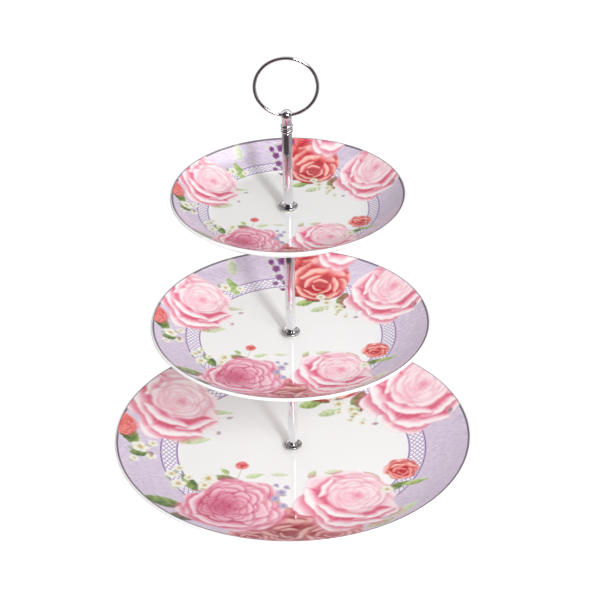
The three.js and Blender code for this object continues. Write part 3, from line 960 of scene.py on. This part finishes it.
fine_cover = halve(cover)
fine_ink = halve(ink * cover[..., None]) / np.maximum(fine_cover, 1e-3)[..., None]
fine_ink = np.where(fine_cover[..., None] > 0.002, fine_ink, 1.0)
linear_ink = np.where(fine_ink <= 0.04045, fine_ink / 12.92, ((fine_ink + 0.055) / 1.055) ** 2.4)
transfer = np.concatenate([linear_ink, fine_cover[..., None]], -1)


def look_up(x, y):
    """The transfer's colour and cover at places given as shares of the radius, blended between spots."""
    side = transfer.shape[0]
    at = [np.clip((v + 1) / 2 * side - 0.5, 0, side - 1.001) for v in (x, y)]
    cells = [a.astype(int) for a in at]
    share_x, share_y = [(a - c)[:, None] for a, c in zip(at, cells)]
    column, row = cells
    low = transfer[row, column] * (1 - share_x) + transfer[row, column + 1] * share_x
    high = transfer[row + 1, column] * (1 - share_x) + transfer[row + 1, column + 1] * share_x
    return low * (1 - share_y) + high * share_y


def add_float(mesh, name, values):
    mesh.attributes.new(name, "FLOAT", "POINT").data.foreach_set("value", values.astype(np.float32))


def print_on(plate, size):
    mesh = plate.data
    places = np.empty(len(mesh.vertices) * 3, np.float32)
    mesh.vertices.foreach_get("co", places)
    x, y, z = places.reshape(-1, 3).T / MM
    out = np.hypot(x, y)
    printed = (z > middle_height(size, out)) & (out < size["radius"] - PRINT_MARGIN)
    colours = look_up(x / size["radius"], y / size["radius"])
    colours[:, 3] *= printed & (out < size["radius"] - PRINT_MARGIN - EDGE_LINE / 2)
    flowers = mesh.color_attributes.new("flowers", "FLOAT_COLOR", "POINT")
    flowers.data.foreach_set("color", colours.astype(np.float32).ravel())
    add_float(mesh, "printed", printed)
    add_float(mesh, "bare", z < size["foot"] + 0.6)
    return int(printed.sum())


print("transfer:", transfer.shape[0], "spots a side")

# %% Make the three plates
for tier in ("bottom", "middle", "top"):
    size = plate_sizes(tier)
    plate = turn(f"{tier}_coupe_plate", plate_outline(size), PLATE_STEPS)
    points = print_on(plate, size)
    edge_start = 1 - (PRINT_MARGIN + EDGE_LINE) / size["radius"]
    material = make_porcelain(f"Porcelain {tier}", size["radius"] * MM, *LATTICE[tier], edge_start)
    hand_over(plate, f"{tier}_plate", material)
    print(f"{tier}: radius {size['radius']:.1f} mm, well at {size['well']:.1f} mm, {points} printed points")

# %% [markdown]
# ## Rods
# Each rod is a length of drawn bar, faced and drilled at both ends. It starts as a cylinder of the right size.
# Its end faces are inset to the width of the bore and pushed in to the bore's depth, and its corners are
# bevelled as a lathe would ease them.

# %% Rods
BORE_RADIUS = 2.3
ROD_EASE = 0.35
ROD_SIDES = 96
THREAD_BORE = 8.0
STUD_BORE = 9.0
SPIGOT_BORE = 7.0


def rod(node_name, lower_bore, upper_bore):
    low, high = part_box(node_name)
    radius = (high.x - low.x) / 2
    deselect()
    bpy.ops.mesh.primitive_cylinder_add(
        vertices=ROD_SIDES,
        radius=radius,
        depth=high.z - low.z,
        location=(0, 0, (low.z + high.z) / 2),
    )
    piece = name_it(f"{node_name}_bar")
    settle(piece)
    enter_edit()
    for end, inward in ((low.z, lower_bore * MM), (high.z, -upper_bore * MM)):
        select_where(piece, "faces", lambda middle: abs(middle.z - end) < SAME_POINT)
        bpy.ops.mesh.inset(thickness=radius - BORE_RADIUS * MM, use_even_offset=True)
        bpy.ops.mesh.extrude_region_move(TRANSFORM_OT_translate={"value": (0, 0, inward)})
        corner = radius * math.cos(math.pi / ROD_SIDES) - SAME_POINT * 10
        select_where(piece, "edges", lambda m: abs(m.z - end) < SAME_POINT and m.xy.length > corner)
        bpy.ops.mesh.bevel(offset=ROD_EASE * MM, segments=3, affect="EDGES")
    clean_shell()
    leave_edit()
    bpy.ops.object.shade_smooth_by_angle(angle=SMOOTH_ANGLE)
    hand_over(piece, node_name, rod_chrome)


rod("lower_rod", THREAD_BORE, STUD_BORE)
rod("upper_rod", THREAD_BORE, STUD_BORE)
rod("handle_rod", THREAD_BORE, SPIGOT_BORE)

# %% [markdown]
# ## Cup washers
# Under each rod sits a dished washer, pressed from thin sheet with its lip rolled over. It is turned once
# from an outline with soft corners, then copied to the other two tiers, each copy with a mesh of its own.

# %% Cup washers
ROUND_STEPS = 96
CUP_FLOOR = 0.8
CUP_LIP = 0.5
CUP_FLOOR_RADIUS = 4.7
UNDER_BEND = 0.4  # radius of the bend under the floor's edge
INNER_BEND = 0.3
HOLE_BURR = 0.1


def cup_outline(low, high):
    bottom, height, radius = low.z / MM, (high.z - low.z) / MM, (high.x - low.x) / 2 / MM
    lip = (radius - CUP_LIP, bottom + height - CUP_LIP)
    lean = math.degrees(math.atan2(height, radius - CUP_FLOOR_RADIUS))
    floor = bottom + CUP_FLOOR
    outline = [(BORE_RADIUS, bottom + HOLE_BURR), (BORE_RADIUS + HOLE_BURR, bottom)]
    outline += arc((CUP_FLOOR_RADIUS - UNDER_BEND, bottom + UNDER_BEND), UNDER_BEND, -90, -45, 4)
    outline += arc(lip, CUP_LIP, lean - 90, lean + 90, 12)
    outline += arc((CUP_FLOOR_RADIUS - CUP_LIP / 2, floor + INNER_BEND), INNER_BEND, -45, -90, 4)
    return outline + [(BORE_RADIUS + HOLE_BURR, floor), (BORE_RADIUS, floor - HOLE_BURR), outline[0]]


def copy_up(first, name, rise):
    """A copy with its own mesh, raised by rise metres."""
    deselect()
    first.select_set(True)
    bpy.context.view_layer.objects.active = first
    bpy.ops.object.duplicate(linked=False)
    name_it(name)
    bpy.ops.transform.translate(value=(0, 0, rise))
    return bpy.context.object


def set_of_three(kind, outline, material):
    """Turns the bottom tier's piece, copies it up to the other tiers and hands all three over."""
    first = turn(f"bottom_{kind}_piece", outline, ROUND_STEPS)
    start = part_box(f"bottom_{kind}")[0].z
    others = [(t, copy_up(first, f"{t}_{kind}_piece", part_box(f"{t}_{kind}")[0].z - start)) for t in ("middle", "top")]
    for tier, piece in [("bottom", first)] + others:
        hand_over(piece, f"{tier}_{kind}", material)


set_of_three("cup_washer", cup_outline(*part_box("bottom_cup_washer")), shaded_cup_chrome)

# %% [markdown]
# ## Flat washers and soft washers
# Below each plate a steel washer presses a soft one against the glaze, and another soft one lies under the
# cup. Both are flat rings. A stamped washer has one rolled and one sharper edge, and a moulded one is round
# all over and bulges slightly where it is squeezed.

# %% Flat washers and soft washers
# How far the lower and the upper corners are rounded, and how far the side bulges.
STAMPED = (0.12, 0.28, 0.02)
MOULDED = (0.25, 0.25, 0.15)


def ring_outline(low, high, ease_low, ease_high, bulge):
    bottom, top, radius = low.z / MM, high.z / MM, (high.x - low.x) / 2 / MM
    outer = radius - bulge
    outline = arc((BORE_RADIUS + ease_low, bottom + ease_low), ease_low, 180, 270, 3)
    outline += arc((outer - ease_low, bottom + ease_low), ease_low, 270, 345, 3)
    outline.append((radius, (bottom + top) / 2))
    outline += arc((outer - ease_high, top - ease_high), ease_high, 15, 90, 3)
    outline += arc((BORE_RADIUS + ease_high, top - ease_high), ease_high, 90, 180, 3)
    return outline + outline[:1]


set_of_three("under_washer", ring_outline(*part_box("bottom_under_washer"), *STAMPED), zinc)
for kind in ("under_gasket", "top_gasket"):
    set_of_three(kind, ring_outline(*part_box(f"bottom_{kind}"), *MOULDED), seal)

# %% [markdown]
# ## Threads
# The rods are held together by headless studs with a 4 mm thread. One turn of the thread's section is drawn
# and a Screw modifier winds it up, which gives a true helix. The winding is cut square at both ends, then
# trimmed by a plain bar with eased ends, as a real stud is.

# %% Threads
PITCH = 0.7
THREAD_RADIUS = 2.0
THREAD_ROOT = 1.6
THREAD_EASE = 0.4
THREAD_STEPS = 32
SCREW_STEPS = 64
TRIM_MARGIN = 0.1


def wind_thread(name, bottom, top):
    """A threaded bar between two heights in millimetres."""
    section = [(THREAD_ROOT, 0), (THREAD_RADIUS, 0.38 * PITCH), (THREAD_RADIUS, 0.50 * PITCH),
               (THREAD_ROOT, 0.88 * PITCH), (THREAD_ROOT, PITCH)]
    piece = draw_outline(name, [(r, z + bottom - PITCH) for r, z in section])
    leave_edit()
    screw = piece.modifiers.new("wind", "SCREW")
    screw.screw_offset = PITCH * MM
    screw.iterations = math.ceil((top - bottom) / PITCH) + 2
    screw.steps = screw.render_steps = THREAD_STEPS
    screw.use_merge_vertices = True
    screw.merge_threshold = SAME_POINT
    bpy.ops.object.modifier_apply(modifier=screw.name)
    enter_edit()
    for height, clear in ((bottom, {"clear_inner": True}), (top, {"clear_outer": True})):
        bpy.ops.mesh.select_all(action="SELECT")
        bpy.ops.mesh.bisect(plane_co=(0, 0, height * MM), plane_no=(0, 0, 1), use_fill=True, **clear)
    clean_shell()
    leave_edit()
    return piece


def ease_ends(piece, bottom, top):
    """Trims the corners off both ends with a plain bar."""
    slim = THREAD_RADIUS - THREAD_EASE
    full = THREAD_RADIUS + TRIM_MARGIN / 2
    below, above = bottom - TRIM_MARGIN, top + TRIM_MARGIN
    bar = [(0, below), (slim - TRIM_MARGIN, below), (full, bottom + THREAD_EASE),
           (full, top - THREAD_EASE), (slim - TRIM_MARGIN, above), (0, above)]
    cut(piece, turn("trim_bar", bar, SCREW_STEPS), "INTERSECT")
    bpy.ops.object.shade_smooth_by_angle(angle=SMOOTH_ANGLE)


for stud_name in ("middle_stud", "top_stud"):
    low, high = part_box(stud_name)
    stud = wind_thread(f"{stud_name}_thread", low.z / MM, high.z / MM)
    ease_ends(stud, low.z / MM, high.z / MM)
    hand_over(stud, stud_name, zinc)

# %% [markdown]
# ## Base screw
# One machine screw comes up through the bottom plate and holds the whole spindle. Its low head sits inside
# the foot ring, clear of the table. The head is a turned disc with a domed edge and a cross recess cut by
# two tapered blades. It is then joined to a length of the same thread.

# %% Base screw
HEAD_THICKNESS = 1.5
HEAD_DOME = 0.7
HEAD_EASE = 0.15
HEAD_OVERLAP = 0.4  # how far the shank reaches into the head
RECESS_LENGTH = 6.0
RECESS_WIDTH = 1.1
RECESS_DEPTH = 0.8


def recess_blade(turned, bottom):
    """A blade for the cross recess, wider at its mouth than at its tip."""
    deselect()
    bpy.ops.mesh.primitive_cube_add(size=1, location=(0, 0, bottom))
    blade = name_it("recess_blade")
    blade.scale = (RECESS_LENGTH * MM, RECESS_WIDTH * MM, 2 * RECESS_DEPTH * MM)
    blade.rotation_euler.z = turned
    settle(blade)
    enter_edit()
    select_where(blade, "faces", lambda middle: middle.z > bottom + 0.9 * RECESS_DEPTH * MM)
    bpy.ops.transform.resize(value=(0.8, 0.8, 1))
    leave_edit()
    return blade


def base_screw():
    low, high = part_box("base_screw")
    bottom, tip, radius = low.z / MM, high.z / MM, (high.x - low.x) / 2 / MM
    under_head = bottom + HEAD_THICKNESS
    outline = [(0, bottom)] + arc((radius - HEAD_DOME, bottom + HEAD_DOME), HEAD_DOME, -90, 0, 6)
    outline += arc((radius - HEAD_EASE, under_head - HEAD_EASE), HEAD_EASE, 0, 90, 2) + [(0, under_head)]
    head = turn("base_screw_piece", outline, SCREW_STEPS)
    for turned in (0, math.pi / 2):
        cut(head, recess_blade(turned, low.z))
    shank = wind_thread("shank", under_head - HEAD_OVERLAP, tip)
    ease_ends(shank, under_head - HEAD_OVERLAP - THREAD_EASE, tip)
    cut(head, shank, "UNION")
    bpy.ops.object.shade_smooth_by_angle(angle=SMOOTH_ANGLE)
    hand_over(head, "base_screw", zinc)


base_screw()

# %% [markdown]
# ## Finial
# The finial is turned from one bar: a spigot that is pressed into the handle rod, two beads, a neck and a
# ball. A hole is drilled across the ball for the ring. The outline is turned and the hole is cut by a bar,
# and the beads are half ovals with a fine groove at each side.

# %% Finial
ROD_RADIUS = 3.5
SPIGOT_RADIUS = 2.0
SPIGOT_EASE = 0.3
BEAD_BULGE = 0.75
BEAD_HALF_HEIGHT = 1.1
BEAD_PITCH = 3.4
NECK_LENGTH = 8.2
BALL_RADIUS = 4.0
NECK_RADIUS = 3.35
GROOVE = 0.25
BEAD_STEPS = 14
BEAD_ROUNDNESS = 0.7  # below 1, a bead is fuller than an oval
NECK_FILLET = 0.4
CROSS_HOLE_RADIUS = 1.88


def finial():
    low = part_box("finial")[0]
    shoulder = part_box("handle_rod")[1].z / MM + TOUCH_GAP
    tip = low.z / MM
    outline = [(0, tip), (SPIGOT_RADIUS - SPIGOT_EASE, tip), (SPIGOT_RADIUS, tip + SPIGOT_EASE)]
    outline += [(SPIGOT_RADIUS, shoulder), (ROD_RADIUS - GROOVE, shoulder)]
    for bead in range(2):
        middle = shoulder + BEAD_HALF_HEIGHT + bead * BEAD_PITCH
        for i in range(BEAD_STEPS + 1):
            angle = math.pi * (i / BEAD_STEPS - 0.5)
            r = ROD_RADIUS - GROOVE + (BEAD_BULGE + GROOVE) * math.cos(angle) ** BEAD_ROUNDNESS
            outline.append((r, middle + BEAD_HALF_HEIGHT * math.sin(angle)))
    ball = (0, shoulder + BEAD_HALF_HEIGHT + BEAD_PITCH + NECK_LENGTH)
    meets = math.degrees(math.asin(NECK_RADIUS / BALL_RADIUS))
    neck_start = shoulder + 2 * BEAD_HALF_HEIGHT + BEAD_PITCH
    outline.append((NECK_RADIUS, neck_start + NECK_FILLET))
    outline += arc(ball, BALL_RADIUS, meets - 90, 90, 28)
    piece = turn("finial_piece", outline, ROUND_STEPS)
    deselect()
    bpy.ops.mesh.primitive_cylinder_add(
        vertices=48,
        radius=CROSS_HOLE_RADIUS * MM,
        depth=4 * BALL_RADIUS * MM,
        location=(0, 0, ball[1] * MM),
        rotation=(0, math.pi / 2, 0),
    )
    cut(piece, bpy.context.object)
    bpy.ops.object.shade_smooth_by_angle(angle=SMOOTH_ANGLE)
    hand_over(piece, "finial", turned_chrome)


finial()

# %% [markdown]
# ## Ring handle
# The handle is a piece of chromed wire, bent into a ring through the ball and closed end to end. A torus gives
# the ring. One loop of its edges is bevelled and drawn in slightly, which leaves the fine groove where the
# two ends of the wire meet.

# %% Ring handle
RING_STEPS = 180
WIRE_SIDES = 32
JOINT_ANGLE = 38  # degrees round the ring from its lowest point to where the wire's ends meet
JOINT_WIDTH = 0.15
JOINT_DEPTH = 0.12


def ring_handle():
    low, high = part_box("ring_handle")
    wire = (high.y - low.y) / 2
    middle = Vector((0, 0, (low.z + high.z) / 2))
    deselect()
    bpy.ops.mesh.primitive_torus_add(
        major_radius=(high.z - low.z) / 2 - wire,
        minor_radius=wire,
        major_segments=RING_STEPS,
        minor_segments=WIRE_SIDES,
        location=middle,
        rotation=(math.pi / 2, 0, 0),
    )
    piece = name_it("ring_handle_wire")
    settle(piece)
    angle = math.radians(JOINT_ANGLE)
    towards = Vector((math.sin(angle), 0, -math.cos(angle)))
    across = Vector((math.cos(angle), 0, math.sin(angle)))

    def at_joint(place):
        off = place - middle
        return abs(off.dot(across)) < SAME_POINT * 20 and off.dot(towards) > 0

    enter_edit()
    select_where(piece, "edges", at_joint)
    bpy.ops.mesh.bevel(offset=JOINT_WIDTH * MM, segments=2, affect="EDGES")
    select_where(piece, "verts", at_joint)
    bpy.ops.transform.shrink_fatten(value=-JOINT_DEPTH * MM)
    clean_shell()
    leave_edit()
    bpy.ops.object.shade_smooth_by_angle(angle=SMOOTH_ANGLE)
    hand_over(piece, "ring_handle", turned_chrome)


ring_handle()

# %% [markdown]
# ## Floor
# The stand is shown on a plain white surface that curves up behind it, so no horizon shows. Seen straight on,
# the floor gives most of its light itself, as a lit white table does, which keeps the shadow on it faint.
# Seen in the chrome it shows a painted reflection instead, dark in front and paler at the sides, like a dark
# studio floor. Dark cards laid just out of view would do the same, but they would show in every other view.

# %% Floor
FLOOR_SIZE = 6.0
SWEEP_HEIGHT = 3.0


def make_floor():
    deselect()
    bpy.ops.mesh.primitive_plane_add(size=FLOOR_SIZE, location=(0, 0, cad_low.z))
    floor = name_it("floor")
    settle(floor)
    enter_edit()
    select_where(floor, "edges", lambda middle: middle.y > FLOOR_SIZE / 2 - 0.01)
    bpy.ops.mesh.extrude_region_move(TRANSFORM_OT_translate={"value": (0, 0, SWEEP_HEIGHT)})
    select_where(floor, "edges", lambda middle: middle.y > FLOOR_SIZE / 2 - 0.01 and middle.z < 0.01)
    bpy.ops.mesh.bevel(offset=1.5, segments=16, affect="EDGES")
    leave_edit()
    bpy.ops.object.shade_smooth()
    material, tree, shader = start_material("White table")
    place = surface_place(tree)
    put(shader["Base Color"], blend(tree, noise(tree, place, 3.0), rgb(0.62, 0.62, 0.62), rgb(0.60, 0.60, 0.61)))
    shader["Roughness"].default_value = 0.9
    shader["Emission Color"].default_value = (1, 1, 1, 1)
    shader["Emission Strength"].default_value = 0.80

    # Painted reflection: glossy rays see a glow here, dark towards the front and paler at the sides and back.
    flat = node(tree, "ShaderNodeVectorMath", [(0, place), (1, (1, 1, 0))], operation="MULTIPLY").outputs[0]
    way = node(tree, "ShaderNodeVectorMath", [(0, flat)], operation="NORMALIZE").outputs[0]
    ahead = node(tree, "ShaderNodeVectorMath", [(0, way), (1, FRONT_LEFT)], operation="DOT_PRODUCT")
    in_dark_reflection = between(tree, ahead.outputs["Value"], 0.40, 0.72)
    mirrored = node(tree, "ShaderNodeEmission", [("Color", blend(tree, in_dark_reflection, PALE_FLOOR_REFLECTION, DARK_FLOOR_REFLECTION))])
    path = node(tree, "ShaderNodeLightPath").outputs["Is Glossy Ray"]
    mix = node(tree, "ShaderNodeMixShader", [(0, path)])
    put(mix.inputs[1], tree.nodes["Principled BSDF"].outputs[0])
    put(mix.inputs[2], mirrored.outputs[0])
    put(tree.nodes["Material Output"].inputs["Surface"], mix.outputs[0])
    floor.data.materials.append(material)


# Colours of the painted reflection that the chrome sees in the floor.
FRONT_LEFT = (-0.30, -0.95, 0)
PALE_FLOOR_REFLECTION = rgb(0.66, 0.64, 0.65)
DARK_FLOOR_REFLECTION = rgb(0.31, 0.28, 0.28)
make_floor()
print("floor:", FLOOR_SIZE, "m wide")

# %% [markdown]
# ## Light
# The key light stands in front, to the right and above, and is small enough for the rods to throw a shadow to
# the back. A softer panel beside it draws the white streaks on the rods, the ring and the glaze. A white room
# fills the shadows, but the chrome mirrors a darker one, since it only looks like chrome if it has something
# dark to mirror.

# %% Light
AIM = Vector((0, 0, 0.14))


def add_light(name, azimuth, elevation, distance, width, height, power, colour):
    """A panel that faces the stand. The azimuth, in degrees, runs from the front towards the right."""
    side, up = math.radians(azimuth), math.radians(elevation)
    way = Vector((math.sin(side) * math.cos(up), -math.cos(side) * math.cos(up), math.sin(up)))
    bpy.ops.object.light_add(type="AREA", location=AIM + way * distance)
    light = name_it(name)
    light.data.shape = "RECTANGLE"
    light.data.size = width
    light.data.size_y = height
    light.data.energy = power
    light.data.color = colour
    light.rotation_mode = "QUATERNION"
    light.rotation_quaternion = (-way).to_track_quat("-Z", "Y")


def light_room():
    world = bpy.data.worlds.new("White room")
    bpy.context.scene.world = world
    world.use_nodes = True
    tree = world.node_tree
    way = node(tree, "ShaderNodeTexCoord").outputs["Generated"]
    flat = node(tree, "ShaderNodeSeparateXYZ", [("Vector", way)])
    back = between(tree, flat.outputs["Y"], 0.05, 0.5)
    high = between(tree, flat.outputs["Z"], 0.75, 0.95)
    mirrored = blend(tree, high, DIM_ROOM, DIM_CEILING)
    mirrored = blend(tree, back, mirrored, BACK_GLOW)
    towards = node(tree, "ShaderNodeVectorMath", [(0, way), (1, PANEL_WAY)], operation="DOT_PRODUCT").outputs["Value"]
    mirrored = blend(tree, between(tree, towards, 0.95, 0.985), mirrored, PANEL_GLARE)
    path = node(tree, "ShaderNodeLightPath").outputs
    seen = blend(tree, path["Is Glossy Ray"], ROOM_LIGHT, mirrored)
    put(tree.nodes["Background"].inputs["Color"], blend(tree, path["Is Camera Ray"], seen, (1, 1, 1, 1)))


ROOM_LIGHT = (0.50, 0.485, 0.47, 1)
DIM_ROOM = rgb(0.30, 0.28, 0.29)
DIM_CEILING = rgb(0.50, 0.50, 0.52)
BACK_GLOW = (1.25, 1.25, 1.25, 1)
PANEL_WAY = (0.575, 0.02, 0.817)  # to the right and high up
PANEL_GLARE = (5.5, 5.5, 5.6, 1)
light_room()
add_light("Key light", 22, 30, 1.3, 0.15, 0.42, 10.8, (0.97, 1.0, 1.04))
add_light("Side panel", 36, 27, 1.2, 0.30, 0.36, 2.6, (0.99, 1.0, 1.02))
bpy.context.scene.view_settings.view_transform = "Standard"
